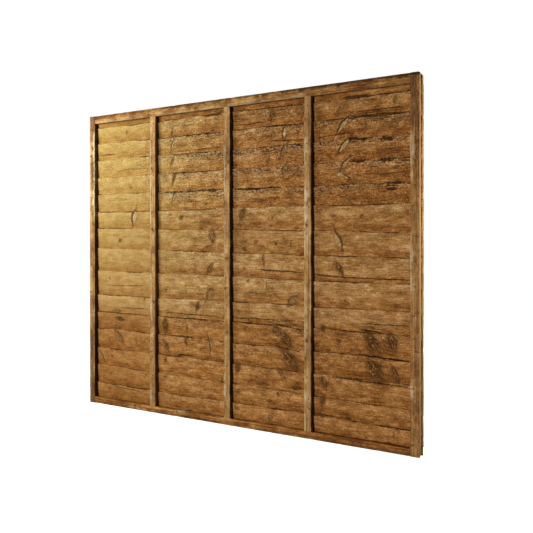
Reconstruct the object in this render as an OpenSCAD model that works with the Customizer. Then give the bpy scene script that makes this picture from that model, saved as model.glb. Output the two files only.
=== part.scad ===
// Overlap fence panel: waney-edged slats, each lapped over the next, held
// between a front and a rear frame of sawn battens. Millimetres, +Z up.
// The front frame faces -Y. The origin is the foot of the left end face,
// halfway through the thickness of the front stile.

/* [Panel] */
// Overall width, from one end face to the other
panel_w = 1830; // [1500:5:2200]
// Overall height, from the foot to the top
panel_h = 1524; // [1350:2:1830]

/* [Front frame] */
// Width of a front stile's face
stile_w = 38; // [30:1:50]
// Width of a front batten's face, between two bays
batten_w = 36; // [25:1:45]
// Height of the top rail's face, the same at the front and at the rear
top_rail_h = 41; // [30:1:60]
// Height of the bottom rail's face, the same at the front and at the rear
bottom_rail_h = 32; // [28:1:60]
// Thickness of the front stiles, rails and battens
front_t = 19; // [14:1:25]
// How far each inner batten stands off its even place, to the right
batten_drift = [-14, -15, -44]; // [-60:1:60]

/* [Rear frame] */
// Width of a rear stile's face
rear_stile_w = 38; // [30:1:50]
// Width of a rear batten's face
rear_batten_w = 36; // [25:1:45]
// Thickness of the rear stiles and battens
rear_t = 22; // [16:1:25]
// Thickness of the rear rails, which are shallower than the rear stiles
rear_rail_t = 15; // [8:1:16]

/* [Slats] */
// Thickness of a slat
slat_t = 5; // [4:0.5:6]
// How far a slat reaches down behind the top edge of the slat below
lap = 22; // [18:1:26]
// Depth of the deepest dips in a waney top edge
wane = 8; // [0:1:12]
// Free play between two lapped slats at their tightest place
lap_play = 0.3; // [0.2:0.1:0.6]
// How far the ends of the slats stay inside the end faces
end_inset = 3; // [0:1:10]
// How far the lowest and the highest slat stay inside the foot and the top
edge_inset = 3; // [1:1:8]

/* [Hidden] */
// Height that each slat adds to the slats below it, from the foot up. The
// boards are sawn to no one width, and the sum is fitted to the panel.
slat_rise = [105, 89, 93, 100, 94, 94, 119, 110, 107, 101, 89, 94, 91, 89, 86, 56];
// How much lower each slat's top edge is at the right end, from the foot up
slat_fall = [8, 26, 19, 25, 8, 4, 26, 39, 39, 5, 18, 8, 8, 3, 4, 0];
slats = len(slat_rise);
bays = len(batten_drift) + 1;

// A share of each slat's nominal rise, so that the slats fill the panel
rise_fit = (panel_h - 2 * edge_inset) / total(slat_rise, slats);
slat_left = end_inset;
slat_right = panel_w - end_inset;
// Distance between two points of a waney edge
wane_step = 50;
edge_steps = ceil((slat_right - slat_left) / wane_step);

// Depth between the frames: enough for the tightest of the laps, where the
// rear face of one slat passes the front face of the next
slat_room = max([for (k = [1 : slats - 1]) room_for_lap(k)]);

// Planes across the thickness of the panel, from the front to the rear
front_face = -front_t / 2;
front_back = front_t / 2;
rear_front = front_back + slat_room;

function total(list, n) = n == 0 ? 0 : list[n - 1] + total(list, n - 1);

// Height of the top of slat k, counted from 1 at the foot, at mid width
function course(k) = edge_inset + total(slat_rise, k) * rise_fit;

// Fall and lap at the bottom edge of slat k. The lowest slat has neither.
function foot_fall(k) = k == 1 ? 0 : slat_fall[k - 2];
function foot_lap(k) = k == 1 ? 0 : lap;

// Lowest corner of slat k, and its height along the board to its highest one
function slat_foot(k) = course(k - 1) - foot_lap(k) - foot_fall(k) / 2;
function slat_h(k) = course(k) + slat_fall[k - 1] / 2 - slat_foot(k);

// Depth that slats k and k + 1 need to pass each other with their play
function lap_share(k) = (lap + slat_fall[k - 1]) / min(slat_h(k), slat_h(k + 1));
function room_for_lap(k) =
    (2 * slat_t + lap_play - slat_t * lap_share(k)) / (1 - lap_share(k));

// Lean of slat k: its top meets the front frame and its foot the rear frame
function lean(k) =
    asin(slat_room / norm([slat_h(k), slat_t])) - atan2(slat_t, slat_h(k));

// Shape of a waney edge along the board, from 0 at its crests to 1 in its
// dips: three waves, whose lengths and starts differ from board to board
function waviness(k) = 0.35 + 0.65 * abs(sin(67 * k));
function wave(k, x) =
    0.5 * sin(0.31 * x + 83 * k) + 0.3 * sin(0.83 * x + 151 * k) + 0.2 * sin(2.1 * x + 47 * k);
function dip(k, x) = k == slats ? 0 : waviness(k) * (1 - wave(k, x)) / 2;

// Centre line of inner batten i
function batten_x(i) = panel_w * i / bays + batten_drift[i - 1];

// An upright from z0 to z1, as wide as w, with its left side at x
module upright(x, w, y, t, z0, z1)
    translate([x, y, z0]) cube([w, t, z1 - z0]);

module front_stile(x)
    color("burlywood") upright(x, stile_w, front_face, front_t, 0, panel_h);

module front_rail(z, h)
    color("peru")
        translate([stile_w, front_face, z])
            cube([panel_w - 2 * stile_w, front_t, h]);

module front_batten(i)
    color("burlywood")
        upright(batten_x(i) - batten_w / 2, batten_w, front_face, front_t,
            bottom_rail_h, panel_h - top_rail_h);

module rear_stile(x)
    color("sandybrown")
        upright(x, rear_stile_w, rear_front, rear_t, bottom_rail_h, panel_h - top_rail_h);

module rear_rail(z, h)
    color("peru")
        translate([0, rear_front, z]) cube([panel_w, rear_rail_t, h]);

module rear_batten(i)
    color("sandybrown")
        upright(batten_x(i) - rear_batten_w / 2, rear_batten_w, rear_front, rear_t,
            bottom_rail_h, panel_h - top_rail_h);

// Outline of slat k in its own plane, with 0 at the height of its lowest corner
module slat_outline(k) {
    foot = [[slat_right, 0], [slat_left, foot_fall(k)]];
    crown = [
        for (i = [0 : edge_steps])
            let (along = i / edge_steps, x = slat_left + along * (slat_right - slat_left))
                [x, slat_h(k) - slat_fall[k - 1] * along - wane * dip(k, x)]
    ];
    polygon(concat(foot, crown));
}

module slat(k)
    color("tan")
        translate([0, rear_front, slat_foot(k) + slat_t * sin(lean(k))])
            rotate([90 + lean(k), 0, 0])
                linear_extrude(slat_t) slat_outline(k);

front_stile(0);  // front_left_stile
front_stile(panel_w - stile_w);  // front_right_stile
front_rail(panel_h - top_rail_h, top_rail_h);  // front_top_rail
front_rail(0, bottom_rail_h);  // front_bottom_rail
for (i = [1 : bays - 1]) {
    front_batten(i);
}
for (k = [1 : slats]) {
    slat(k);
}
rear_stile(0);  // rear_left_stile
rear_stile(panel_w - rear_stile_w);  // rear_right_stile
rear_rail(panel_h - top_rail_h, top_rail_h);  // rear_top_rail
rear_rail(0, bottom_rail_h);  // rear_bottom_rail
for (i = [1 : bays - 1]) {
    rear_batten(i);
}
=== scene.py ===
# %% [markdown]
# # An overlap fence panel
# The panel is sixteen thin waney-edged slats, lapped like shingles and nailed
# between two frames of sawn battens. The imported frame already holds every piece
# at its real size and place. This lesson gives each one its timber: saw marks,
# knots, shakes, worn arrises, bark and end grain. Lengths are in metres.

import math
import random

import bpy
import numpy as np
from mathutils import Matrix, Vector, noise


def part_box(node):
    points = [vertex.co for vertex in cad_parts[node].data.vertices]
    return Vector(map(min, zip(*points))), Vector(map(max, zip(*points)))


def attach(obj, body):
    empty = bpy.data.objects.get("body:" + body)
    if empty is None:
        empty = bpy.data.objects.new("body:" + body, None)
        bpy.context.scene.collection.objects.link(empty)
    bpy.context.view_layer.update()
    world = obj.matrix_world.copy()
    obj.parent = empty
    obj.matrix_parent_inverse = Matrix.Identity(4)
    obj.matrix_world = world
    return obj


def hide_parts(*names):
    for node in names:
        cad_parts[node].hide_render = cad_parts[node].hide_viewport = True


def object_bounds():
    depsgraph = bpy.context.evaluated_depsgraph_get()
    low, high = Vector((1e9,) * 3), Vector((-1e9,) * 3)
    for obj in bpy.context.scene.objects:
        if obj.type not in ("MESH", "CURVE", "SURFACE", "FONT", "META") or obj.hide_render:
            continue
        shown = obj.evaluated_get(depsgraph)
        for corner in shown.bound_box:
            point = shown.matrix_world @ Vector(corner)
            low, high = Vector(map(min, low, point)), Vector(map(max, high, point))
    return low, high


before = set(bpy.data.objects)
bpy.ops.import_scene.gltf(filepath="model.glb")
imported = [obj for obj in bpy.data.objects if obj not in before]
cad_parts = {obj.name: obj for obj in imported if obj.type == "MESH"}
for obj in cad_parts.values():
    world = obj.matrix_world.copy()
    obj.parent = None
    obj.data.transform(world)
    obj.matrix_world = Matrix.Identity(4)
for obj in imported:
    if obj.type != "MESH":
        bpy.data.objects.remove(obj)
cad_low, cad_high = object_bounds()
print("panel", [round(v, 4) for v in cad_high - cad_low])

# %% [markdown]
# ## The camera
# The photograph shows the panel from the right, with the camera level: its
# uprights stay parallel and its rails run to one point on the left. The place
# and lens follow from the four edges. A small vertical shift, rather than a
# tilt, puts the horizon above the middle of the picture.

# %% Camera
CAMERA_PLACE = Vector((2.770, -2.628, 0.8405))
CAMERA_AZIMUTH = 32.24
LENS = 46.585
HORIZON_SHIFT = -0.0408


def add_camera():
    """A level camera that looks along +Y, turned to the left by its azimuth."""
    data = bpy.data.cameras.new("camera")
    data.lens = LENS
    data.sensor_width = 36
    data.shift_y = HORIZON_SHIFT
    camera = bpy.data.objects.new("camera", data)
    camera.location = CAMERA_PLACE
    camera.rotation_euler = (math.radians(90), 0, math.radians(CAMERA_AZIMUTH))
    bpy.context.scene.collection.objects.link(camera)
    bpy.context.scene.camera = camera


add_camera()
print("camera at", CAMERA_PLACE)

# %% [markdown]
# ## Tools for modelling
# An operator works on everything that is selected, and loading the frame leaves
# its nodes selected. So each piece starts with nothing selected, and edges are
# picked in code, by where their two ends are.

# %% Selecting in code
def select_only(piece):
    """Selects one object and makes it the active one."""
    bpy.ops.object.select_all(action="DESELECT")
    piece.select_set(True)
    bpy.context.view_layer.objects.active = piece


def pick_edges(piece, test):
    """In edit mode, selects just the edges whose two ends pass a test."""
    bpy.ops.mesh.select_mode(type="EDGE")
    bpy.ops.mesh.select_all(action="DESELECT")
    bpy.ops.object.mode_set(mode="OBJECT")
    points = piece.data.vertices
    for edge in piece.data.edges:
        edge.select = test(*(points[i].co for i in edge.vertices))
    bpy.ops.object.mode_set(mode="EDIT")


def apply_modifiers(piece):
    """Applies a piece's modifiers from the first to the last."""
    select_only(piece)
    for modifier in list(piece.modifiers):
        bpy.ops.object.modifier_apply(modifier=modifier.name)


def hand_over(piece, name, stands_for=None):
    """Names a finished piece and hangs it on the panel's one body."""
    piece.name = name
    piece.data.name = name
    select_only(piece)
    bpy.ops.object.shade_smooth_by_angle(angle=math.radians(40))
    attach(piece, "root")
    if stands_for:
        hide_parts(stands_for)


# %% [markdown]
# ## Tools for materials
# Every finish here is a tree of nodes that read the place of a point on the
# panel, in metres. Writing such a tree by hand takes many lines, so a small
# class adds each kind of node with its settings and returns what comes out.

# %% Writing node trees
def paint(red, green, blue):
    """A colour as it looks on a screen, from 0 to 255, as Blender's linear one."""
    shares = (c / 255 for c in (red, green, blue))
    return tuple(c / 12.92 if c < 0.04 else ((c + 0.055) / 1.055) ** 2.4 for c in shares) + (1,)


class Finish:
    """A material whose nodes are added one by one."""

    def __init__(self, name):
        self.material = bpy.data.materials.new(name)
        self.material.use_nodes = True
        self.tree = self.material.node_tree
        self.shader = self.tree.nodes["Principled BSDF"]

    def feed(self, socket, value):
        """Puts a number or a colour on a socket, or links another node to it."""
        if isinstance(value, bpy.types.NodeSocket):
            self.tree.links.new(value, socket)
        else:
            socket.default_value = value

    def add(self, kind, inputs=(), **settings):
        node = self.tree.nodes.new(kind)
        for name, value in settings.items():
            setattr(node, name, value)
        for key, value in dict(inputs).items():
            self.feed(node.inputs[key], value)
        return node

    def place(self):
        return self.add("ShaderNodeTexCoord").outputs["Object"]

    def split(self, vector):
        return list(self.add("ShaderNodeSeparateXYZ", {0: vector}).outputs)

    def join(self, x, y, z):
        return self.add("ShaderNodeCombineXYZ", {0: x, 1: y, 2: z}).outputs[0]

    def mark(self, name):
        """Three numbers that each point of the mesh carries."""
        return self.split(self.add("ShaderNodeAttribute", attribute_name=name).outputs["Vector"])

    def measure(self, name):
        """One number that each point of the mesh carries."""
        return self.add("ShaderNodeAttribute", attribute_name=name).outputs["Fac"]

    def math(self, operation, a, b=0.0, c=0.0):
        node = self.add("ShaderNodeMath", {0: a, 1: b, 2: c}, operation=operation)
        return node.outputs[0]

    def times(self, first, *others):
        for other in others:
            first = self.math("MULTIPLY", first, other)
        return first

    def weigh(self, *pairs):
        """The sum of some values, each times its weight."""
        total = 0.0
        for value, weight in pairs:
            total = self.math("MULTIPLY_ADD", value, weight, total)
        return total

    def noise(self, vector, scale, shift=(0, 0, 0), detail=3.0, rough=0.55, bend=0.0):
        inputs = {"Vector": vector, "Scale": scale, "Location": shift}
        vector = self.add("ShaderNodeMapping", inputs).outputs[0]
        inputs = {"Vector": vector, "Scale": 1.0, "Detail": detail, "Roughness": rough}
        return self.add("ShaderNodeTexNoise", {**inputs, "Distortion": bend}).outputs["Fac"]

    def cells(self, vector, scale, shift=(0, 0, 0)):
        """Distance to the nearest of some scattered points, and a random share for it."""
        inputs = {"Vector": vector, "Scale": scale, "Location": shift}
        vector = self.add("ShaderNodeMapping", inputs).outputs[0]
        node = self.add("ShaderNodeTexVoronoi", {"Vector": vector, "Scale": 1.0})
        return node.outputs["Distance"], self.split(node.outputs["Color"])[0]

    def rise(self, value, start, end, low=0.0, high=1.0):
        """From low, where a value is at its start, smoothly to high, where it is at its end."""
        inputs = {0: value, 1: start, 2: end, 3: low, 4: high}
        node = self.add("ShaderNodeMapRange", inputs, interpolation_type="SMOOTHSTEP")
        return node.outputs[0]

    def window(self, value, start, end, soft):
        """1 from a start to an end, and 0 outside them."""
        opened = self.rise(value, start - soft, start + soft)
        return self.times(opened, self.rise(value, end - soft, end + soft, 1, 0))

    def ramp(self, value, *stops):
        node = self.add("ShaderNodeValToRGB", {0: value})
        elements = node.color_ramp.elements
        while len(elements) < len(stops):
            elements.new(0.5)
        for element, (where, colour) in zip(elements, stops):
            element.position = where
            element.color = colour
        return node.outputs[0]

    def mix(self, share, first, second, way="MIX"):
        inputs = {0: share, 6: first, 7: second}
        node = self.add("ShaderNodeMix", inputs, data_type="RGBA", blend_type=way)
        return node.outputs[2]

    def finish(self, colour, height, depth, roughness=0.8, sheen=0.05):
        """Ends the tree: colour, sheen and a bump whose full height is depth metres."""
        bump = self.add("ShaderNodeBump", {"Height": height, "Distance": depth, "Strength": 1.0})
        self.feed(self.shader.inputs["Base Color"], colour)
        self.feed(self.shader.inputs["Normal"], bump.outputs[0])
        self.feed(self.shader.inputs["Roughness"], roughness)
        self.shader.inputs["Specular IOR Level"].default_value = sheen
        return self.material


# %% [markdown]
# ## The colours of dip-treated softwood
# The panel was dipped in a golden-brown preservative. Pale earlywood takes it as
# a bright tan, dense latewood and knots stay dark, and where rain and hands have
# rubbed the arrises the bare wood shows pale and grey.

# %% Colours
STRAW = paint(223, 190, 141)
GOLDEN = paint(194, 154, 100)
TAN = paint(161, 119, 66)
BROWN = paint(126, 84, 41)
UMBER = paint(87, 51, 20)
KNOT_BROWN = paint(66, 38, 17)
BARK = paint(36, 23, 13)
STAIN = paint(46, 40, 36)
BARE = paint(214, 197, 162)
SILVER = paint(150, 131, 104)
WHITE = (1, 1, 1, 1)
# Tints, which multiply a colour
GREYED = (0.96, 1.04, 1.32, 1)
RUDDY = (1.06, 0.86, 0.68, 1)
# A yellowing tint: painted warm lamp light at the upper left, with some bleaching of the timber
LAMPLIT_AND_BLEACHED = (0.99, 1.16, 1.08, 1)
# Colours from dark to light, each with its place on the way from 0 to 1
TIMBER = ((0.10, UMBER), (0.34, BROWN), (0.54, TAN), (0.76, GOLDEN), (0.96, STRAW))
KNOT_WOOD = ((0.22, BARK), (0.36, KNOT_BROWN), (0.48, UMBER), (0.60, BROWN), (0.74, GOLDEN),
    (0.9, STRAW))

# %% [markdown]
# ## Knots and shakes
# A knot is where a branch left the log. On these slats the same branch was sawn
# through several times, so its mark comes back on the slat above. A shake is a
# long split along the grain. Both are lists of places, read off the photograph
# in millimetres from the left end and down from the top, where they show on the
# plane of the front frame. The slats lie behind that plane, so each place is
# moved back along the camera's line of sight.

# %% Where the knots are
# (from the left, down from the top, half length, half width, lean in degrees, paleness)
KNOTS = [
    # First bay
    (269, 106, 9, 7, 80, 0.0), (294, 392, 12, 6, 10, 0.1), (322, 543, 36, 15, 76, 0.9),
    (272, 806, 10, 3, 85, 0.1), (147, 858, 8, 5, -60, 0.2), (392, 958, 13, 5, 62, 0.1),
    (200, 1029, 30, 9, 2, 0.1), (222, 1066, 30, 11, -8, 0.5), (194, 1112, 26, 9, 0, 0.1),
    (214, 1160, 40, 13, -48, 0.7), (67, 1226, 11, 9, 0, 0.0), (82, 1266, 38, 10, -50, 0.75),
    (164, 1264, 7, 6, 0, 0.1), (156, 1356, 9, 6, 20, 0.1), (400, 1339, 9, 4, 10, 0.1),
    (147, 1436, 8, 7, 0, 0.3), (333, 1181, 12, 3, 85, 0.1), (222, 661, 12, 8, 30, 0.4),
    # Second bay
    (846, 57, 16, 10, 0, 0.0), (572, 272, 26, 7, 58, 0.2), (583, 357, 30, 8, 66, 0.55),
    (584, 450, 28, 7, 60, 0.82), (575, 192, 26, 6, 60, 0.9), (565, 135, 12, 6, 70, 0.4),
    (778, 92, 9, 3, 85, 0.1), (778, 489, 8, 5, 0, 0.1), (561, 536, 9, 5, 20, 0.2),
    (628, 552, 13, 9, 30, 0.4), (765, 579, 34, 9, 14, 0.1), (817, 642, 36, 18, 96, 0.6),
    (790, 694, 22, 7, 12, 0.2), (800, 797, 30, 12, 55, 0.6), (530, 795, 7, 5, 0, 0.1),
    (650, 814, 7, 5, 0, 0.1), (800, 920, 31, 17, 62, 0.7), (528, 911, 8, 6, 40, 0.7),
    (728, 979, 25, 10, 66, 0.5), (528, 1084, 38, 16, 84, 0.5), (661, 1086, 12, 7, 80, 0.3),
    (661, 1148, 24, 10, 86, 0.3), (794, 1165, 33, 8, -82, 0.8), (530, 1181, 30, 12, -60, 0.6),
    (530, 1253, 11, 7, 70, 0.4), (772, 1286, 8, 5, 0, 0.1), (528, 1336, 9, 5, 0, 0.1),
    (772, 1373, 9, 6, 0, 0.1), (767, 1456, 11, 8, 10, 0.0), (655, 914, 15, 3, 88, 0.1),
    # Third bay
    (1149, 106, 32, 13, 82, 0.3), (1124, 64, 12, 6, 0, 0.1), (1310, 111, 24, 6, 58, 0.4),
    (1212, 189, 24, 10, 80, 0.9), (1152, 194, 13, 7, 60, 0.7), (1211, 262, 34, 9, 60, 0.75),
    (1215, 350, 26, 10, 74, 0.75), (1118, 308, 11, 5, 0, 0.1), (1077, 483, 30, 9, -6, 0.1),
    (1243, 508, 15, 5, 0, 0.1), (988, 544, 32, 16, 62, 0.4), (982, 590, 24, 9, 0, 0.1),
    (1149, 564, 9, 5, 40, 0.2), (1141, 598, 8, 4, 0, 0.1), (1271, 611, 10, 7, 0, 0.0),
    (1060, 672, 11, 7, 30, 0.3), (1166, 678, 9, 6, -30, 0.3), (1243, 680, 9, 4, 80, 0.2),
    (999, 704, 13, 8, -40, 0.3), (1102, 744, 17, 7, 85, 0.3), (996, 795, 7, 6, 0, 0.1),
    (1021, 847, 9, 6, 30, 0.2), (1118, 866, 21, 3, 88, 0.1), (1149, 881, 9, 4, 70, 0.2),
    (1029, 903, 24, 4, 0, 0.0), (1252, 931, 32, 16, 42, 0.7), (1238, 951, 18, 5, 4, 0.0),
    (1176, 1070, 28, 17, -50, 0.6), (1216, 1100, 46, 22, -48, 0.5), (1202, 1170, 11, 7, 0, 0.0),
    (1240, 1194, 56, 26, -44, 0.5), (1194, 1254, 32, 12, -52, 0.2), (963, 1253, 21, 14, 70, 0.6),
    (965, 1358, 13, 9, 10, 0.3), (1093, 1311, 34, 9, 2, 0.3), (1271, 1311, 28, 9, 4, 0.4),
    (1132, 1383, 12, 7, 0, 0.2), (1178, 1347, 11, 6, -40, 0.3), (960, 1440, 16, 8, -10, 0.2),
    (1138, 1458, 16, 11, 10, 0.0), (1104, 770, 14, 5, 88, 0.2),
    # Fourth bay
    (1490, 108, 28, 12, 48, 0.2), (1729, 100, 18, 9, 85, 0.2), (1499, 180, 42, 9, 49, 0.9),
    (1504, 267, 40, 9, 48, 0.9), (1507, 346, 32, 8, 52, 0.9), (1501, 394, 30, 5, -32, 0.9),
    (1475, 389, 12, 7, 0, 0.9), (1515, 500, 28, 7, -38, 0.7), (1732, 486, 8, 6, 0, 0.1),
    (1454, 561, 9, 6, 0, 0.2), (1582, 567, 13, 8, 40, 0.3), (1474, 667, 39, 12, -68, 0.9),
    (1482, 786, 32, 12, -62, 0.4), (1510, 922, 14, 5, -40, 0.2), (1404, 1040, 13, 12, 20, 0.5),
    (1629, 1083, 50, 24, -55, 0.5), (1716, 1077, 40, 19, -70, 0.5), (1477, 1092, 12, 8, 40, 0.3),
    (1374, 1111, 9, 6, 0, 0.1), (1640, 1197, 50, 30, -50, 0.5), (1727, 1203, 36, 13, -66, 0.4),
    (1408, 1274, 27, 12, -72, 0.6), (1402, 1350, 20, 12, 76, 0.5), (1724, 1447, 18, 3, 86, 0.1),
    (1602, 1478, 8, 5, 0, 0.1), (1782, 553, 12, 6, 10, 0.0), (1730, 1382, 8, 5, 0, 0.1),
]

# (left end, its distance down, right end, its distance down, half width)
SHAKES_BARK_AND_GAP_SHADE = [
    # Splits along the grain
    (80, 211, 196, 211, 1.3), (192, 304, 280, 294, 1.0), (280, 294, 420, 302, 0.8),
    (589, 227, 878, 225, 1.3), (943, 132, 1104, 131, 1.4), (1127, 218, 1310, 226, 1.5),
    (1571, 131, 1793, 130, 1.5), (1360, 226, 1538, 214, 1.6), (620, 478, 780, 474, 0.8),
    (1071, 797, 1306, 804, 2.3), (1358, 811, 1500, 821, 2.6), (1490, 820, 1795, 825, 2.0),
    (128, 898, 383, 891, 1.1), (217, 1009, 422, 1008, 1.2), (489, 1017, 867, 1021, 1.1),
    (932, 1019, 1299, 1018, 1.3), (1565, 1010, 1796, 1008, 2.2), (170, 1420, 390, 1428, 1.0),
    (1716, 1428, 1795, 1420, 1.2), (1360, 364, 1790, 365, 0.6), (1600, 392, 1790, 391, 0.6),
    # Painted shade in the gaps behind the bottom rail
    (648, 1489, 692, 1488, 2.6), (770, 1489, 826, 1489, 2.6), (1036, 1489, 1084, 1490, 2.4),
    (1125, 1489, 1184, 1489, 3.0), (1350, 1490, 1795, 1490, 1.6),
    # Black bark left on the waney edges
    (1497, 66, 1618, 70, 3.4), (1625, 71, 1790, 73, 1.8), (775, 73, 875, 71, 3.0),
    (1116, 71, 1310, 74, 1.6), (1517, 150, 1795, 154, 2.8), (1130, 153, 1310, 158, 2.8),
    (545, 155, 878, 156, 1.6), (766, 155, 800, 155, 4.0), (1520, 239, 1570, 243, 3.6),
    (1555, 246, 1620, 248, 3.0), (1664, 252, 1726, 254, 5.0), (1270, 249, 1310, 250, 2.6),
    (1530, 336, 1608, 336, 5.0), (1654, 339, 1724, 339, 5.5), (560, 335, 870, 334, 1.6),
    (950, 428, 1110, 432, 4.0), (1110, 430, 1160, 424, 3.0), (490, 427, 878, 426, 2.2),
    (788, 424, 830, 426, 6.0), (1680, 434, 1770, 434, 5.0), (1694, 458, 1738, 458, 3.5),
    (930, 611, 1030, 612, 1.6), (560, 1128, 700, 1129, 1.8), (600, 1221, 700, 1221, 3.0),
    (650, 1039, 790, 1041, 2.2), (932, 1036, 1060, 1042, 1.8), (1150, 1035, 1310, 1054, 2.0),
    (1575, 1037, 1680, 1042, 2.4), (1560, 1139, 1795, 1148, 2.6), (1150, 1136, 1300, 1150, 1.6),
    (1430, 1243, 1795, 1250, 2.0), (1360, 1409, 1560, 1413, 1.5), (1505, 1411, 1530, 1412, 3.0),
]
SLAT_DEPTH = 0.022


def moved_back(x, down):
    """Where a spot that shows on the front frame's plane lies on the slats behind it."""
    back = SLAT_DEPTH / (cad_low.y - CAMERA_PLACE.y)
    seen = Vector((x / 1000, 0, cad_high.z - down / 1000))
    shift = (seen - CAMERA_PLACE) * back
    return seen.x + shift.x, seen.z + shift.z


print(len(KNOTS), "knots and", len(SHAKES_BARK_AND_GAP_SHADE), "shakes")

# %% [markdown]
# ## Marking the slats
# A pattern of nodes can't search a list of knots, but a mesh can carry, at each
# of its points, where that point lies from its nearest knot. Between points the
# shader blends those distances, and as they grow evenly, the blend is exact. So
# a knot stays sharp however coarse the mesh is. Shakes are marked the same way.

# %% Nearest knots and shakes
MILLI = 0.001
KNOT_REACH = 3.0
SHAKE_REACH = 12.0
# The mark of a point that is near no knot or shake, and a first distance to beat
OFF = 9.0
FAR = 1e6


def fade(value, start, end):
    """1 up to a start, and evenly down to 0 at an end."""
    return np.clip((end - value) / (end - start), 0, 1)


def knot_marks(x, z, knots):
    """For points on the panel: along and across the nearest knot, in its own half sizes,
    with a weight that ends before the next knot begins, and that knot's paleness."""
    marks = np.full((len(x), 3), OFF)
    pale = np.zeros(len(x))
    nearest = np.full(len(x), FAR)
    second = np.full(len(x), FAR)
    for left, up, length, width, lean, paleness in knots:
        cos, sin = math.cos(math.radians(lean)), math.sin(math.radians(lean))
        a = ((x - left) * cos + (z - up) * sin) / (length * MILLI)
        b = ((z - up) * cos - (x - left) * sin) / (width * MILLI)
        reach = np.hypot(a, b)
        here = reach < nearest
        second = np.where(here, nearest, np.minimum(second, reach))
        nearest = np.where(here, reach, nearest)
        marks[here, 0], marks[here, 1] = a[here], b[here]
        pale[here] = paleness
    marks[:, 2] = fade(nearest, KNOT_REACH - 0.6, KNOT_REACH) * fade(nearest / second, 0.75, 0.98)
    return marks, pale


def shake_marks(x, z):
    """For points on the panel: along and across the nearest shake, and a weight."""
    marks = np.full((len(x), 3), OFF)
    nearest = np.full(len(x), FAR)
    for x0, down0, x1, down1, width in SHAKES_BARK_AND_GAP_SHADE:
        start, start_z = moved_back(x0, down0)
        end, end_z = moved_back(x1, down1)
        along = (x - start) / (end - start)
        off = (z - start_z - along * (end_z - start_z)) / (width * MILLI)
        here = (abs(off) < nearest) & (along > -0.05) & (along < 1.05)
        nearest = np.where(here, abs(off), nearest)
        marks[here, 0], marks[here, 1] = along[here], off[here]
    marks[:, 2] = fade(nearest, SHAKE_REACH - 4, SHAKE_REACH)
    return marks


def write_attribute(mesh, name, values):
    """Stores one number or one vector for each point of a mesh."""
    kind = "FLOAT" if values.ndim == 1 else "FLOAT_VECTOR"
    entry = "value" if values.ndim == 1 else "vector"
    attribute = mesh.attributes.new(name, kind, "POINT")
    attribute.data.foreach_set(entry, values.astype(np.float32).ravel())


PANEL_KNOTS = [(*moved_back(x, down), *shape) for x, down, *shape in KNOTS]

# %% [markdown]
# ## The shape of a slat
# A slat is sawn from the round log and never squared, so its top edge is the
# outside of the tree: uneven, rounded, with shreds of bark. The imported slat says
# how it leans, where it ends and how its edge runs, and the piece is modelled
# from those: a grid is laid out to the outline, thickened, its waney edge
# rounded, then roughened by small moves of its points.

# %% Reading a packed slat
def read_slat(node):
    """The lean, the faces and the outline of a packed slat, in its own plane."""
    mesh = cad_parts[node].data
    front = max((p for p in mesh.polygons if p.normal.y < -0.9), key=lambda p: p.area)
    lean = math.atan2(-front.normal.z, -front.normal.y)
    up = np.array((0, -math.sin(lean), math.cos(lean)))
    out = np.array((0, -math.cos(lean), -math.sin(lean)))
    points = np.array([v.co for v in mesh.vertices])
    x, rise, depth = points[:, 0], points @ up, points @ out
    stations = sorted({round(v, 4) for v in x})
    near = [rise[abs(x - s) < 0.0005] for s in stations]
    return {
        "lean": lean,
        "front": depth.max(),
        "thickness": depth.max() - depth.min(),
        "stations": np.array(stations),
        "crown": np.array([r.max() for r in near]),
        "foot": (near[0].min(), near[-1].min()),
    }


def slat_edges(slat, x):
    """Heights of a slat's foot and of its crown at some places along it."""
    stations = slat["stations"]
    foot = np.interp(x, (stations[0], stations[-1]), slat["foot"])
    return foot, np.interp(x, stations, slat["crown"])


def crown_height(slat, x):
    """How high above the ground a slat's top edge is at some places along it."""
    lean = slat["lean"]
    return slat_edges(slat, x)[1] * math.cos(lean) - slat["front"] * math.sin(lean)


SLATS = 16
slats = [read_slat(f"slat_{number}") for number in range(1, SLATS + 1)]
print("leans", [round(math.degrees(slat["lean"]), 1) for slat in slats])

# %% Making a slat
GRID_STEP = 0.0062
WANE_ROUND = 0.0026
RAG_DEPTH = 0.0035


def field(points, scale, seed):
    """Smooth noise from -1 to 1 at some points, by a scale along each axis."""
    shift = Vector((seed * 7.3, seed * 3.1, seed * 1.7))
    return np.array([noise.noise(Vector(p * scale) + shift) for p in points])


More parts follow.
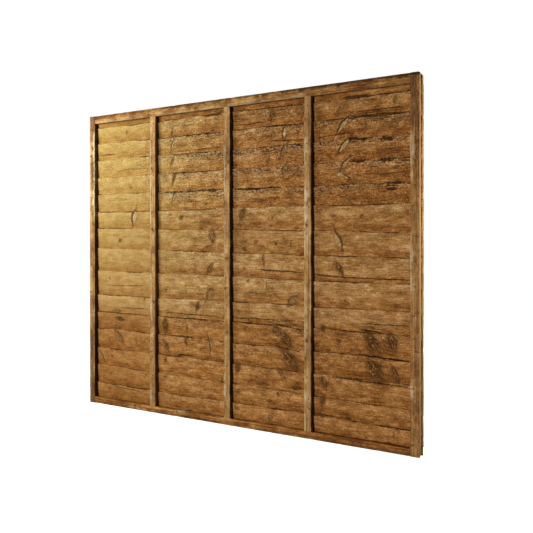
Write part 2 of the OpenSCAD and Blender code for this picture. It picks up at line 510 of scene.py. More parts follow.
def model_slat(slat, seed):
    """A slat's mesh, flat in its own plane, with its front face at a height of 0."""
    start, end = slat["stations"][0], slat["stations"][-1]
    foot, crown = slat_edges(slat, np.array([start, end]))
    columns = round((end - start) / GRID_STEP)
    rows = round((crown - foot).mean() / GRID_STEP)

    bpy.ops.object.select_all(action="DESELECT")
    bpy.ops.mesh.primitive_grid_add(
        x_subdivisions=columns, y_subdivisions=rows, size=1, location=(0.5, 0.5, 0)
    )
    piece = bpy.context.object
    bpy.ops.object.transform_apply(location=True)
    flat = np.array([v.co for v in piece.data.vertices])
    x = start + flat[:, 0] * (end - start)
    foot, crown = slat_edges(slat, x)
    track = np.stack([x, np.zeros_like(x), np.zeros_like(x)], 1)
    rag = np.clip(field(track, (16, 1, 1), seed), 0, 1) + 0.5 * abs(field(track, (70, 1, 1), seed))
    share = flat[:, 1]
    rise = foot + share * (crown - foot) - RAG_DEPTH * rag * share**6
    shaped = np.stack([x, rise, np.zeros_like(x)], 1)
    piece.data.vertices.foreach_set("co", shaped.ravel())

    thicken = piece.modifiers.new("thickness", "SOLIDIFY")
    thicken.thickness = slat["thickness"]
    thicken.offset = -1
    apply_modifiers(piece)

    def on_crown(a, b):
        high = min(a.y, b.y) > slat_edges(slat, np.array([a.x]))[1][0] - 2 * RAG_DEPTH
        return high and a.z > -1e-5 and b.z > -1e-5 and abs(a.y - b.y) < abs(a.x - b.x)

    bpy.ops.object.mode_set(mode="EDIT")
    pick_edges(piece, on_crown)
    bpy.ops.mesh.bevel(offset=WANE_ROUND, segments=3, affect="EDGES")
    bpy.ops.object.mode_set(mode="OBJECT")
    return piece


# %% [markdown]
# The moves are small: a board sawn wet and dried in the wind bows by a
# millimetre, its fibres stand a little proud, and hard knots stay high while the
# soft wood round them shrinks.

# %% Roughening a slat and leaning it into place
WARP = 0.0008
KNOT_HEIGHT = 0.0012


def dress_slat(piece, slat, below, seed):
    """Marks a slat's points, roughens it, and moves it to its place in the panel."""
    points = np.array([v.co for v in piece.data.vertices])
    lean = Matrix.Rotation(math.radians(90) + slat["lean"], 4, "X")
    seat = Matrix.Translation(Vector((0, 0, slat["front"])))
    placed = np.array([lean @ seat @ Vector(p) for p in points])
    x, z = placed[:, 0], placed[:, 2]
    knots, pale = knot_marks(x, z, PANEL_KNOTS)

    reach = np.hypot(knots[:, 0], knots[:, 1])
    swell = knots[:, 2] * np.exp(-1.5 * reach**2) * KNOT_HEIGHT * (pale - 0.3)
    inward = WARP * (field(points, (2.2, 9, 0), seed) * 0.5 - 0.5)
    rough = 0.00025 * field(points, (60, 300, 0), seed)
    write_attribute(piece.data, "knot", knots)
    write_attribute(piece.data, "pale_knot", pale)
    write_attribute(piece.data, "shake_bark_and_gap_shade", shake_marks(x, z))
    write_attribute(piece.data, "below_crown", slat_edges(slat, points[:, 0])[1] - points[:, 1])
    lap = crown_height(below, x) if below else np.full_like(x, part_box("front_bottom_rail")[1].z)
    write_attribute(piece.data, "above_lap", z - lap)
    points[:, 2] += swell + inward + rough
    piece.data.vertices.foreach_set("co", points.ravel())
    piece.data.transform(lean @ seat)
    piece.data.update()


# %% [markdown]
# ## The finish of a slat
# Noises of many sizes make the timber: broad figure, streaks of early and late
# wood, blotches, the torn fibre of rough sawing. The streaks bend round the
# knots. Near the crown come the bark line and the grey-black mottling of
# weathered sapwood, which is strong on the upper slats and fades to the left.
# A noise's scale says how many of its marks fit in a metre along each axis: few
# along the grain and many across it.

# %% Slat timber
def knot_colours(f, colour, marks, pale, seed):
    """Knots over a colour: a halo, a torn heart and a dark broken rim. It returns the
    new colour, and how much each point belongs to a rim."""
    a, b, near = marks
    place = f.place()

    # The distance from a knot's middle, in its half sizes: pointed ends, a ragged outline
    wide = f.math("SUBTRACT", 1.0, f.times(f.math("MINIMUM", f.times(a, a), 1.0), 0.5))
    slim = f.math("DIVIDE", b, wide)
    squared = f.math("ADD", f.times(a, a), f.times(slim, slim))
    ragged = f.noise(place, (150, 150, 150), (seed, 0, 0), detail=4, rough=0.7)
    distance = f.math("ADD", f.math("SQRT", squared), f.math("MULTIPLY_ADD", ragged, 1.1, -0.55))
    streaks = f.noise(f.join(a, b, seed), (1.0, 4.2, 1), detail=4, rough=0.7, bend=0.5)
    tears = f.noise(place, (75, 75, 75), (0, seed, 0), detail=5, rough=0.75, bend=2.2)

    # The rim is strongest on a knot's upper side, and wider the paler the knot is
    halo = f.times(near, f.rise(distance, 0.5, 2.3, 1, 0), f.rise(tears, 0.36, 0.60, 0.45, 1))
    heart = f.times(near, f.rise(distance, 0.80, 1.05, 1, 0))
    outer = f.rise(pale, 0.5, 0.9, 1.30, 2.2)
    rim = f.times(near, f.rise(distance, 0.60, 0.90), f.rise(distance, 1.05, outer, 1, 0))
    rim = f.times(rim, f.rise(b, -0.3, 0.6, 0.2, 1), f.rise(streaks, 0.38, 0.56, 1, 0.75))
    rim = f.times(rim, f.rise(pale, 0.55, 0.88, 0.35, 0.95))

    level = f.weigh((tears, 1.7), (streaks, 1.0))
    level = f.math("ADD", level, f.rise(pale, 0.0, 0.45, -0.82, -0.88))
    level = f.math("ADD", level, f.rise(pale, 0.5, 0.9, 0.0, 0.28))
    middling = f.math("ABSOLUTE", f.math("SUBTRACT", pale, 0.5))
    colour = f.mix(f.times(halo, f.rise(middling, 0.05, 0.35, 0.8, 0.4)), colour, UMBER)
    share = f.times(heart, f.rise(pale, 0.1, 0.45, 0.62, 0.8), f.rise(pale, 0.60, 0.72, 1, 0.65))
    share = f.math("MULTIPLY_ADD", f.times(heart, f.rise(pale, 0.8, 0.9)), 0.3, share)
    colour = f.mix(share, colour, f.ramp(level, *KNOT_WOOD))
    return f.mix(rim, colour, BARK), rim


def bent_past(f, across, marks, push):
    """A place across the grain, pushed aside where the grain bends round a knot."""
    a, b, near = marks
    squared = f.math("ADD", f.times(a, a), f.times(b, b))
    spread = f.math("DIVIDE", near, f.math("ADD", 1.0, f.times(squared, squared)))
    return f.math("SUBTRACT", across, f.times(b, spread, push))


def slat_timber(name, seed, tone, ruddy, stain):
    """Timber of one slat, by its lightness, its redness and its share of mottling."""
    f = Finish(name)
    place = f.place()
    x, y, z = f.split(place)
    knot = f.mark("knot")
    along, off, shake_near = f.mark("shake_bark_and_gap_shade")
    below = f.measure("below_crown")
    above = f.measure("above_lap")
    away = (seed * 2.37, seed * 0.71, seed * 1.13)

    grain = f.join(x, y, bent_past(f, z, knot, push=0.011))
    figure = f.noise(grain, (1.3, 3, 20), away, detail=3, bend=0.8)
    streaks = f.noise(grain, (10, 9, 85), away, detail=4, rough=0.6, bend=1.2)
    blotches = f.noise(place, (17, 17, 30), away, detail=4, rough=0.65)
    torn = f.noise(grain, (130, 130, 210), away, detail=4, rough=0.8, bend=0.8)
    hairs = f.noise(grain, (18, 40, 400), away, detail=4, rough=0.7, bend=0.3)
    fibres = f.noise(grain, (60, 200, 900), away, detail=2)
    sawing = f.noise(place, (330, 40, 16), away, detail=2)

    # The light from the left flattens the timber there, so it varies less
    wild = f.rise(x, 0.25, 0.75, 0.46 + 0.24 * ruddy, 1.0)
    waves = f.weigh(
        (streaks, 0.65), (figure, 0.4), (hairs, 1.0), (blotches, 1.0), (torn, 0.95 + 1.25 * stain)
    )
    lightness = f.math("MULTIPLY_ADD", f.math("SUBTRACT", waves, 2.0 + 0.61 * stain), wild, tone)
    # Darker just over a lap, partly painted shade in the recess behind the lower slat's crown and
    # partly dirt; lighter under the crown, and changing along the slat
    for change in (
        f.rise(above, 0.004, 0.050, -0.13 + 0.08 * stain, 0.0),
        f.rise(below, 0.004, 0.055, 0.05, 0.0),
        f.rise(x, 0.5, 1.6, 0.04 * stain, -0.10 * stain),
        f.rise(x, 0.1, 0.6, -0.08 * ruddy, 0.01),
    ):
        lightness = f.math("ADD", lightness, change)
    colour = f.ramp(lightness, *TIMBER)
    # Redder over a lap, partly painted shade there and partly dirt. Redder to the right and yellower at
    # the upper left: in part painted warm light falling off from the left lamp, in part the timber's
    # own weathering
    red = f.rise(x, 0.1, 1.5, ruddy, ruddy + 0.5 + 0.5 * stain)
    red = f.math("ADD", f.rise(above, 0.0, 0.045, 0.45, 0.0), red)
    colour = f.mix(red, colour, RUDDY, "MULTIPLY")
    # Painted warm light at the upper left, with some bleaching of the timber
    lamplit_and_bleached = f.times(f.rise(x, 0.1, 1.1, 1, 0), f.rise(z, 0.3, 1.2))
    colour = f.mix(lamplit_and_bleached, colour, LAMPLIT_AND_BLEACHED, "MULTIPLY")
    shade = f.math("MULTIPLY_ADD", fibres, 0.30, 0.85)
    shade = f.times(shade, f.math("MULTIPLY_ADD", sawing, 0.30, 0.85))
    colour = f.mix(1.0, colour, f.join(shade, shade, shade), "MULTIPLY")

    # Dark curls of torn fibre, and the grey-black mottling that runs down from the crown
    curls = f.noise(grain, (48, 48, 135), away, detail=5, rough=0.75, bend=2.2)
    reach = f.math("MULTIPLY_ADD", f.noise(place, (6, 6, 6), away), 0.13, -0.030)
    run_down = f.rise(f.math("SUBTRACT", below, reach), -0.040, 0.015, 1, 0)
    rightward = f.rise(x, 0.25, 0.72, 0.18, 1)
    mottle = f.times(run_down, rightward, stain)
    share = f.rise(x, 0.25, 0.7, 0.10 + 0.20 * ruddy, 0.30)
    flecks = f.times(f.rise(curls, 0.49, 0.60), f.math("MULTIPLY_ADD", mottle, 0.95, share))
    colour = f.mix(f.times(mottle, 0.8), colour, GREYED, "MULTIPLY")
    colour = f.mix(flecks, colour, STAIN)
    bright = f.times(f.rise(curls, 0.45, 0.35), f.math("MULTIPLY_ADD", mottle, 0.35, 0.12))
    colour = f.mix(bright, colour, STRAW)

    # The bark line on the crown, thick here and thin there, black on the mottled slats
    shreds = f.noise(place, (30, 30, 60), away, detail=5, rough=0.7)
    patches = f.noise(place, (7, 7, 7), away, detail=3)
    line = f.math("MULTIPLY_ADD", shreds, 0.011, -0.0015)
    line = f.times(line, f.rise(patches, 0.35, 0.62, 0.3, 1.2))
    bark = f.rise(f.math("SUBTRACT", below, line), -0.0016, 0.0010, 1, 0)
    bark = f.times(bark, f.rise(patches, 0.34, 0.60, 0.45, 0.95))
    colour = f.mix(bark, colour, BARK if stain > 0.4 else KNOT_BROWN)

    colour, rim = knot_colours(f, colour, knot, f.measure("pale_knot"), seed)

    # Pin knots, scattered small and dark
    pin, chance = f.cells(place, (11, 1, 17), away)
    pins = f.times(f.rise(pin, 0.03, 0.09, 1, 0), f.rise(chance, 0.60, 0.65), 0.6)
    colour = f.mix(pins, colour, KNOT_BROWN)

    # The shakes: thin open splits that wander with the grain and taper out; the same marks draw the
    # bark on the waney edges and painted shade in the gaps behind the bottom rail
    wander = f.math("MULTIPLY_ADD", f.noise(place, (24, 24, 24), away), 3.0, -1.5)
    taper = f.times(along, f.math("SUBTRACT", 1.0, along))
    gape = f.math("MINIMUM", f.times(taper, 7.0), 1.2)
    gape = f.times(gape, f.rise(shreds, 0.25, 0.62, 0.25, 1.15))
    open_by = f.math("SUBTRACT", gape, f.math("ABSOLUTE", f.math("ADD", off, wander)))
    open_by = f.math("ADD", open_by, f.math("MULTIPLY_ADD", curls, 7.0, -3.5))
    shake_bark_and_gap_shade = f.times(shake_near, f.rise(open_by, -0.35, 0.35))
    colour = f.mix(f.times(shake_bark_and_gap_shade, f.rise(curls, 0.36, 0.60, 0.95, 0.7)), colour, BARK)

    # Fibres and saw marks stand up, and flecks, rims and shakes are hollows
    height = f.weigh(
        (sawing, 0.25), (torn, 0.9), (fibres, 0.25), (flecks, -0.6), (rim, -0.5), (shake_bark_and_gap_shade, -1.8)
    )
    dull = f.math("MULTIPLY_ADD", blotches, 0.2, 0.72)
    return f.finish(colour, height, 0.0016, dull)


def end_grain(name, centre, seed):
    """Sawn end of a board: rings round the heart of the tree, dark with old dip."""
    f = Finish(name)
    x, y, z = f.split(f.place())
    y = f.math("SUBTRACT", y, centre[1])
    z = f.math("SUBTRACT", z, centre[2])
    wobble = f.noise(f.place(), (40, 40, 40), (seed, 0, 0))
    radius = f.math("SQRT", f.math("ADD", f.times(y, y), f.times(z, z)))
    rings = f.math("SINE", f.math("MULTIPLY_ADD", radius, 1900.0, f.times(wobble, 5.0)))
    rings = f.math("MULTIPLY_ADD", rings, 0.5, 0.5)
    grime = f.noise(f.place(), (90, 90, 90), (0, seed, 0), detail=5)
    colour = f.mix(rings, GOLDEN, STRAW)
    colour = f.mix(f.rise(grime, 0.4, 0.65, 0.05, 0.5), colour, UMBER)
    return f.finish(colour, f.math("ADD", rings, grime), 0.0006, 0.85)


# %% Making all the slats
# (lightness, redness, mottling), from the foot up
BOARDS = [
    (0.56, 0.70, 0.20), (0.56, 0.70, 0.25), (0.57, 0.75, 0.35), (0.54, 0.60, 0.40),
    (0.54, 0.55, 0.40), (0.63, -0.10, 0.15), (0.60, -0.10, 0.15), (0.59, -0.10, 0.15),
    (0.57, -0.10, 0.15), (0.59, -0.05, 0.30), (0.55, 0.00, 0.85), (0.55, 0.00, 1.00),
    (0.54, 0.00, 1.00), (0.53, 0.00, 0.85), (0.53, 0.05, 0.50), (0.52, 0.20, 0.20),
]


def make_slats():
    slat_ends = end_grain("slat_end_grain", (0, 0.08, -0.05), 3)
    for number, (slat, board) in enumerate(zip(slats, BOARDS), 1):
        piece = model_slat(slat, number)
        dress_slat(piece, slat, slats[number - 2] if number > 1 else None, number)
        piece.data.materials.append(slat_timber(f"slat_timber_{number}", number, *board))
        piece.data.materials.append(slat_ends)
        for face in piece.data.polygons:
            face.material_index = int(abs(face.normal.x) > 0.9)
        hand_over(piece, f"board_{number}", f"slat_{number}")
        print("slat", number, len(piece.data.polygons), "faces")


make_slats()

# %% [markdown]
# ## The frames
# Stiles, rails and battens are sawn square, with arrises that knocks and weather
# have rounded. Each starts as a box of its node's size. Its long arrises are
# bevelled, it is cut into short lengths, and then the arrises are worn unevenly
# and the faces pressed in a little by noise.

# %% Making a batten
ARRIS = 0.0016
RING_STEP = 0.010
CHIP = 0.0020
FACE_CUTS = 3


def model_batten(node, seed, round_corner=None):
    """A sawn batten: a box with bevelled, chipped arrises and uneven faces."""
    low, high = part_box(node)
    size = high - low
    along = max(range(3), key=lambda i: size[i])
    bpy.ops.object.select_all(action="DESELECT")
    bpy.ops.mesh.primitive_cube_add(size=1, location=(low + high) / 2, scale=size)
    piece = bpy.context.object
    bpy.ops.object.transform_apply(location=True, rotation=False, scale=True)

    def runs_along(a, b):
        return abs((b - a)[along]) > 0.5 * size[along]

    def at_corner(a, b):
        corner = round_corner[0]
        return all(abs(p[i] - corner[i]) < 1e-4 for p in (a, b) for i in (0, 2))

    def runs_across(a, b):
        return abs((b - a)[along]) < 1e-5 and (b - a).length > 4 * ARRIS

    bpy.ops.object.mode_set(mode="EDIT")
    if round_corner:
        pick_edges(piece, at_corner)
        bpy.ops.mesh.bevel(offset=round_corner[1], segments=5, affect="EDGES")
    pick_edges(piece, runs_along)
    bpy.ops.mesh.bevel(offset=ARRIS, segments=2, affect="EDGES")
    pick_edges(piece, runs_across)
    bpy.ops.mesh.subdivide(number_cuts=FACE_CUTS)
    pick_edges(piece, runs_along)
    bpy.ops.mesh.subdivide(number_cuts=round(size[along] / RING_STEP))
    bpy.ops.object.mode_set(mode="OBJECT")

    points = np.array([v.co for v in piece.data.vertices])
    middle, half = np.array((low + high) / 2), np.array(size) / 2
    sides = [i for i in range(3) if i != along]
    chips = np.clip(field(points, 34, seed) - 0.1, 0, 1) * CHIP
    uneven = (field(points, 9, seed + 9) * 0.5 + 0.5) * 0.0006
    for i, other in (sides, sides[::-1]):
        near_arris = abs(points[:, other] - middle[other]) > half[other] - 2 * ARRIS
        inward = np.where(near_arris, chips, 0) + uneven
        share = (points[:, i] - middle[i]) / half[i]
        points[:, i] -= share * inward
    piece.data.vertices.foreach_set("co", points.ravel())
    piece.data.update()
    return piece, along


# %% [markdown]
# ## The finish of a batten
# The same dip, but the grain follows the piece: up a stile, along a rail. Where
# the arrises are rubbed the bare wood shows, nearly white on the sunny stile.
# Small knots lie at random along each piece, marked as on the slats.

# %% Batten timber
def batten_timber(name, node, along, seed, tones, ruddy, bare, grime):
    """Timber of one batten. Tones are its lightness at both ends and between them. Bare
    lists rubbed stretches of its arrises, as distances from the top or the left end; on the
    top rail's lower arris they are also a painted highlight. Grime lists dark bands, by their
    depths: weathering, and painted shade along the right arrises of the left stile and the
    front battens."""
    f = Finish(name)
    low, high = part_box(node)
    place = f.place()
    x, y, z = f.split(place)
    away = (seed * 1.93, seed * 0.37, seed * 2.71)
    run, across = (z, x) if along == 2 else (x, z)
    arrises = {"left": low.x, "right": high.x, "top": high.z, "bottom": low.z}
    knot = f.mark("knot")
    grain = f.join(run, y, bent_past(f, across, knot, push=0.006))

    figure = f.noise(grain, (1.5, 20, 50), away, detail=2, bend=0.6)
    streaks = f.noise(grain, (5, 60, 170), away, detail=4, rough=0.62)
    blotches = f.noise(place, (14, 14, 14), away, detail=4, rough=0.65)
    torn = f.noise(grain, (60, 140, 150), away, detail=5, rough=0.75, bend=0.5)
    fibres = f.noise(grain, (40, 500, 900), away, detail=2)
    waves = f.weigh((streaks, 1.15), (figure, 0.55), (blotches, 1.1), (torn, 1.0))
    share = f.math("DIVIDE", f.math("SUBTRACT", run, low[along]), high[along] - low[along])
    tone = f.rise(share, 0.05, 0.50, tones[0], tones[1])
    tone = f.math("ADD", tone, f.rise(share, 0.50, 0.95, 0.0, tones[2] - tones[1]))
    lightness = f.math("ADD", f.math("SUBTRACT", waves, 1.90), tone)
    colour = f.ramp(lightness, *TIMBER)
    colour = f.mix(f.rise(x, 0.1, 1.5, ruddy, ruddy + 0.15), colour, RUDDY, "MULTIPLY")
    shade = f.math("MULTIPLY_ADD", fibres, 0.36, 0.82)
    colour = f.mix(1.0, colour, f.join(shade, shade, shade), "MULTIPLY")

    scratch = f.noise(grain, (28, 200, 420), away, detail=4, rough=0.7)
    ragged = f.noise(place, (22, 22, 22), away, detail=4, rough=0.6)
    # The uprights are silvered, and the rails only a little
    silvered = f.rise(scratch, 0.44, 0.66, 0.0, 0.45 if along == 2 else 0.12)
    colour = f.mix(silvered, colour, SILVER)
    # Painted light: this stile's flank is painted golden and the rail's underside pale, as if more
    # light fell on them
    if node == "front_right_stile":
        colour = f.mix(f.rise(y, low.y + 0.001, low.y + 0.004, 0, 0.6), colour, GOLDEN)
    if node == "front_top_rail":
        painted_underside_light = f.rise(z, low.z + 0.0008, low.z + 0.0022, 1, 0)
        painted_underside_light = f.times(painted_underside_light, f.rise(y, low.y + 0.001, low.y + 0.003))
        colour = f.mix(painted_underside_light, colour, STRAW)

    # Rubbed arrises, and along the top rail's lower arris partly a painted highlight
    bare_and_highlight = 0.0
    for side, start, end, share in bare:
        gap = f.math("ABSOLUTE", f.math("SUBTRACT", across, arrises[side]))
        if along == 2:
            bounds = (high.z - end * MILLI, high.z - start * MILLI)
        else:
            bounds = (start * MILLI, end * MILLI)
        there = f.window(run, *bounds, 0.018)
        spread = f.math("MULTIPLY_ADD", ragged, 0.060, -0.018)
        worn = f.rise(f.math("SUBTRACT", gap, spread), -0.009, 0.004, 1, 0)
        bare_and_highlight = f.math("MAXIMUM", bare_and_highlight, f.times(worn, there, share))
    bare_and_highlight = f.times(bare_and_highlight, f.rise(scratch, 0.38, 0.58, 0.15, 0.95))
    colour = f.mix(bare_and_highlight, colour, BARE)

    # Dark bands: weathering, but along the right arrises of the left stile and the front battens
    # painted shade beside their shaded flanks
    for side, depth, share in grime:
        toward = z if side in ("top", "bottom") else x
        gap = f.math("ABSOLUTE", f.math("SUBTRACT", toward, arrises[side]))
        edge = f.math("MULTIPLY_ADD", ragged, 2.4 * depth, -0.7 * depth)
        grime_and_shade = f.rise(f.math("SUBTRACT", gap, edge), -0.003, 0.003, 1, 0)
        if side == "top":
            # Tops darken from left to right
            grime_and_shade = f.times(grime_and_shade, f.rise(x, 0.2, 1.6, 0.45, 1.15))
        colour = f.mix(f.times(grime_and_shade, share), colour, BARK)

    colour, rim = knot_colours(f, colour, knot, f.measure("pale_knot"), seed)
    height = f.weigh((fibres, 0.35), (torn, 0.8), (rim, -0.5))
    dull = f.math("MULTIPLY_ADD", blotches, 0.2, 0.70)
    return f.finish(colour, height, 0.0013, dull)


# %% Making all the battens
# node: (lightness at its foot or left end, its middle and its other end), redness,
# rubbed stretches (arris, from, to, share) and dark bands (side, depth, share); the bands
# on the right arrises of the left stile and the front battens are painted shade
BATTENS = {
    # The right-hand dark bands of the left stile and the battens below are painted shade
    "front_left_stile": ((0.36, 0.47, 0.43), 0.0, [("right", 85, 540, 1.0), ("left", 800, 940, 0.3),
        ("right", 1008, 1100, 0.4), ("left", 150, 420, 0.4)],
        [("bottom", 0.012, 0.8), ("top", 0.06, 0.5), ("right", 0.005, 0.85)]),
    "front_right_stile": ((0.40, 0.56, 0.27), 0.15, [("left", 239, 420, 0.6), ("left", 640, 780, 0.8),
        ("left", 795, 870, 0.9), ("left", 1231, 1292, 0.9)], [("top", 0.02, 0.7)]),
    # Along its bottom arris the top rail is rubbed pale and partly painted with a highlight
    "front_top_rail": ((0.27, 0.46, 0.33), 0.15, [("bottom", 20, 900, 0.30),
        ("bottom", 860, 1330, 0.35)], [("top", 0.024, 0.65)]),
    "front_bottom_rail": ((0.44, 0.50, 0.30), 0.80, [("bottom", 290, 400, 0.6), ("top", 590, 650, 0.5)],
        [("bottom", 0.004, 0.5)]),
    "front_batten_1": ((0.52, 0.56, 0.57), 0.0, [("left", 128, 522, 0.5), ("left", 795, 815, 0.9),
        ("left", 838, 852, 0.9), ("left", 905, 1000, 0.8), ("left", 1350, 1460, 0.4)],
        [("right", 0.002, 0.8)]),
    "front_batten_2": ((0.50, 0.52, 0.53), 0.0, [("left", 183, 420, 0.5), ("left", 322, 400, 0.7),
        ("left", 500, 700, 0.45), ("left", 1250, 1350, 0.9)], [("right", 0.0045, 0.9)]),
    "front_batten_3": ((0.58, 0.63, 0.44), 0.0, [("left", 178, 290, 0.7), ("left", 395, 680, 1.0),
        ("left", 820, 870, 0.9), ("left", 880, 1120, 0.55), ("left", 1212, 1230, 0.9),
        ("left", 1278, 1316, 0.9)], [("right", 0.0045, 0.9)]),
    "rear_left_stile": ((0.48, 0.50, 0.50), 0.15, [("left", 200, 900, 0.3)], []),
    "rear_right_stile": ((0.46, 0.54, 0.52), 0.10, [], [("bottom", 0.010, 0.6)]),
    "rear_top_rail": ((0.48, 0.48, 0.44), 0.15, [("top", 300, 1400, 0.2)], [("top", 0.006, 0.7)]),
    "rear_bottom_rail": ((0.44, 0.44, 0.42), 0.40, [("top", 700, 1500, 0.2)], [("bottom", 0.006, 0.6)]),
    "rear_batten_1": ((0.50, 0.52, 0.54), 0.15, [("left", 400, 900, 0.5)], []),
    "rear_batten_2": ((0.48, 0.50, 0.52), 0.20, [("right", 200, 700, 0.4)], []),
    "rear_batten_3": ((0.50, 0.52, 0.54), 0.15, [("left", 600, 1300, 0.5)], []),
}
CORNER_WEAR = {"front_right_stile": 0.0035, "rear_top_rail": 0.011}


def batten_knots(low, high, along, seed):
    """A few small knots at random along a batten, in the panel's places."""
    rng = random.Random(seed)
    knots = []
    step = 0.16
    for k in range(int((high - low)[along] / step)):
        if rng.random() < 0.45:
            continue
        run = low[along] + (k + rng.uniform(0.2, 0.8)) * step
        other = 0 if along == 2 else 2
        cross = rng.uniform(low[other] + 0.008, high[other] - 0.008)
        x, z = (cross, run) if along == 2 else (run, cross)
        length, width = rng.uniform(5, 10), rng.uniform(3, 6)
        knots.append((x, z, length, width, rng.uniform(0, 180), rng.choice((0, 0, 0.5))))
    return knots


def make_battens():
    for seed, (node, look) in enumerate(BATTENS.items(), 21):
        low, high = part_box(node)
        worn = (high, CORNER_WEAR[node]) if node in CORNER_WEAR else None
        piece, along = model_batten(node, seed, worn)
        points = np.array([v.co for v in piece.data.vertices])
        knots, pale = knot_marks(points[:, 0], points[:, 2], batten_knots(low, high, along, seed))
        write_attribute(piece.data, "knot", knots)
        write_attribute(piece.data, "pale_knot", pale)
        piece.data.materials.append(batten_timber(f"timber_{node}", node, along, seed, *look))
        piece.data.materials.append(end_grain(f"end_grain_{node}", (low + high) / 2, seed))
        for face in piece.data.polygons:
            face.material_index = int(abs(face.normal[along]) > 0.8)
        side, part = node.split("_", 1)
        hand_over(piece, f"sawn_{side}_{part}", node)
        print(node, len(piece.data.polygons), "faces")


make_battens()

# %% [markdown]
# ## The nails
# One nail goes through each upright and each lap. One head is modelled, a disc
# with a rounded rim, and copied.

# %% Nails
HEAD_RADIUS = 0.0030
HEAD_HEIGHT = 0.0009
RIM_ROUND = 0.0003


def nail_steel():
    """Old galvanised steel with brown rust."""
    f = Finish("nail_steel")
    rust = f.noise(f.place(), (400, 400, 400), detail=5, rough=0.7)
    colour = f.ramp(rust, (0.35, paint(40, 28, 20)), (0.65, paint(78, 60, 44)))
    f.shader.inputs["Metallic"].default_value = 0.2
    return f.finish(colour, rust, 0.0002, 0.7, 0.2)


def nail_places(side):
    """Where the heads are: at each lap on each upright of one side."""
    places = []
    for name in ("left_stile", "batten_1", "batten_2", "batten_3", "right_stile"):
        low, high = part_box(f"{side}_{name}")
        face = low.y if side == "front" else high.y
        for slat in slats[:-1]:
            x = (low.x + high.x) / 2 + random.uniform(-0.007, 0.007)
            z = crown_height(slat, np.array([x]))[0] - 0.012 + random.uniform(-0.005, 0.005)
            places.append(Vector((x, face, z)))
    return places


def make_nails(side, out):
    """All the heads of one side as one piece. Out is -1 for the front, 1 for the rear."""
    bpy.ops.object.select_all(action="DESELECT")
    bpy.ops.mesh.primitive_cylinder_add(
        vertices=14, radius=HEAD_RADIUS, depth=HEAD_HEIGHT, rotation=(math.radians(90), 0, 0)
    )
    head = bpy.context.object
    bpy.ops.object.transform_apply(location=True, rotation=True)
    bpy.ops.object.mode_set(mode="EDIT")
    pick_edges(head, lambda a, b: a.y * out > 0 and b.y * out > 0)
    bpy.ops.mesh.bevel(offset=RIM_ROUND, segments=2, affect="EDGES")
    bpy.ops.object.mode_set(mode="OBJECT")
    bpy.ops.object.select_all(action="DESELECT")
    for place in nail_places(side):
        copy = head.copy()
        copy.data = head.data.copy()
        bpy.context.scene.collection.objects.link(copy)
        copy.data.transform(Matrix.Translation(place - Vector((0, out * HEAD_HEIGHT / 2, 0))))
        copy.select_set(True)
        bpy.context.view_layer.objects.active = copy
    bpy.data.objects.remove(head)
    bpy.ops.object.join()
    nails = bpy.context.object
    nails.data.materials.append(nail_steel())
    hand_over(nails, f"{side}_nails")
    print(side, "nails", len(nails.data.polygons), "faces")


random.seed(11)
make_nails("front", -1)
make_nails("rear", 1)

# %% [markdown]
# ## Floor, light and backdrop
# The photograph is cut out on white. The floor is white and keeps the panel's
# shadow, and the world is white to the camera but lights the panel little. The
# main light stands in front, low, a little to the left, so the right sides of
# the battens get none. A lamp near the upper left end makes the light fall off
# to the right, and one behind on the right lights the end of the panel. A wide
# lamp behind shows the back. The floor glows to the camera alone, and throws
# little light up at the panel.

# %% Stage
FLOOR_GLOW = 0.965
FLOOR_BOUNCE = 0.24
AMBIENT = 0.05


def add_floor():
    bpy.ops.object.select_all(action="DESELECT")
    bpy.ops.mesh.primitive_plane_add(size=60, location=(0, 0, cad_low.z - 0.0005))
    floor = bpy.context.object
    floor.name = "floor"
    f = Finish("floor_white")
    seen = f.add("ShaderNodeLightPath").outputs["Is Camera Ray"]
    grey = (FLOOR_BOUNCE, FLOOR_BOUNCE, FLOOR_BOUNCE, 1)
    f.feed(f.shader.inputs["Base Color"], f.mix(seen, grey, (0.8, 0.8, 0.8, 1)))
    f.feed(f.shader.inputs["Emission Color"], WHITE)
    f.feed(f.shader.inputs["Emission Strength"], f.times(seen, FLOOR_GLOW))
    f.feed(f.shader.inputs["Roughness"], 1.0)
    f.feed(f.shader.inputs["Specular IOR Level"], 0.0)
    floor.data.materials.append(f.material)


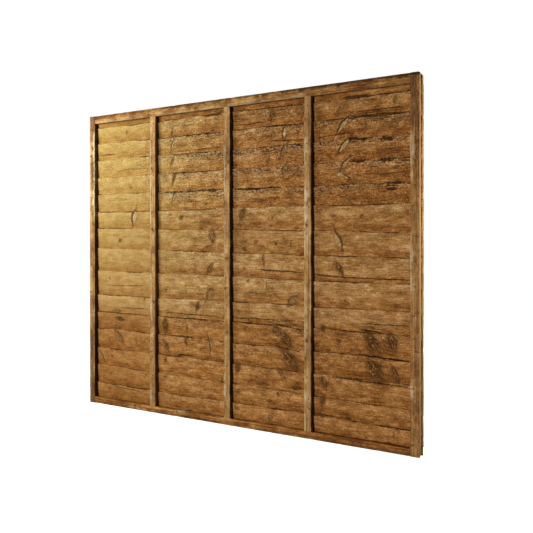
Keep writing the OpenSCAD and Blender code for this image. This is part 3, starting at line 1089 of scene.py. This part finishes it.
def add_world():
    """White to the camera and in reflections, and dim as a light."""
    world = bpy.data.worlds.new("studio")
    bpy.context.scene.world = world
    world.use_nodes = True
    tree = world.node_tree
    dim = tree.nodes["Background"]
    dim.inputs[0].default_value = (1.0, 0.98, 0.95, 1)
    dim.inputs[1].default_value = AMBIENT
    white = tree.nodes.new("ShaderNodeBackground")
    white.inputs[0].default_value = WHITE
    white.inputs[1].default_value = 1.0
    ray = tree.nodes.new("ShaderNodeLightPath")
    shown = ray.outputs["Is Camera Ray"]
    for kind in ("Is Glossy Ray", "Is Transmission Ray"):
        either = tree.nodes.new("ShaderNodeMath")
        either.operation = "MAXIMUM"
        tree.links.new(shown, either.inputs[0])
        tree.links.new(ray.outputs[kind], either.inputs[1])
        shown = either.outputs[0]
    both = tree.nodes.new("ShaderNodeMixShader")
    tree.links.new(shown, both.inputs[0])
    tree.links.new(dim.outputs[0], both.inputs[1])
    tree.links.new(white.outputs[0], both.inputs[2])
    tree.links.new(both.outputs[0], tree.nodes["World Output"].inputs[0])


def add_lamp(name, kind, place, energy, size, colour, target=None):
    """A lamp, and where it shines to if it isn't a bulb."""
    data = bpy.data.lights.new(name, kind)
    data.energy = energy
    data.color = colour
    if kind == "POINT":
        data.shadow_soft_size = size
    elif kind == "AREA":
        data.size = size
    else:
        data.angle = size
    lamp = bpy.data.objects.new(name, data)
    lamp.location = place
    if target:
        aim = Vector(target) - Vector(place)
        lamp.rotation_euler = aim.to_track_quat("-Z", "Y").to_euler()
    bpy.context.scene.collection.objects.link(lamp)


add_floor()
add_world()
middle = (cad_low + cad_high) / 2
SUNNY = (0.95, 1.0, 0.91)
WARM = (1.0, 0.96, 0.93)
sun_place = middle + Vector((-0.56, -4.0, 0.14))
add_lamp("low_sun", "SUN", sun_place, 1.93, math.radians(5), WARM, middle)
add_lamp("left_bulb", "POINT", (-0.30, -1.00, 1.57), 73, 0.28, SUNNY)
add_lamp("end_bulb", "POINT", (2.62, 0.50, 1.02), 50, 0.2, WARM)
add_lamp("back_fill", "AREA", (0.6, 4.0, 2.2), 140, 2.0, WARM, middle)

# %% [markdown]
# ## The view transform
# The colours are shown as they are, by the Standard view transform.

# %% View transform
bpy.context.scene.view_settings.view_transform = "Standard"
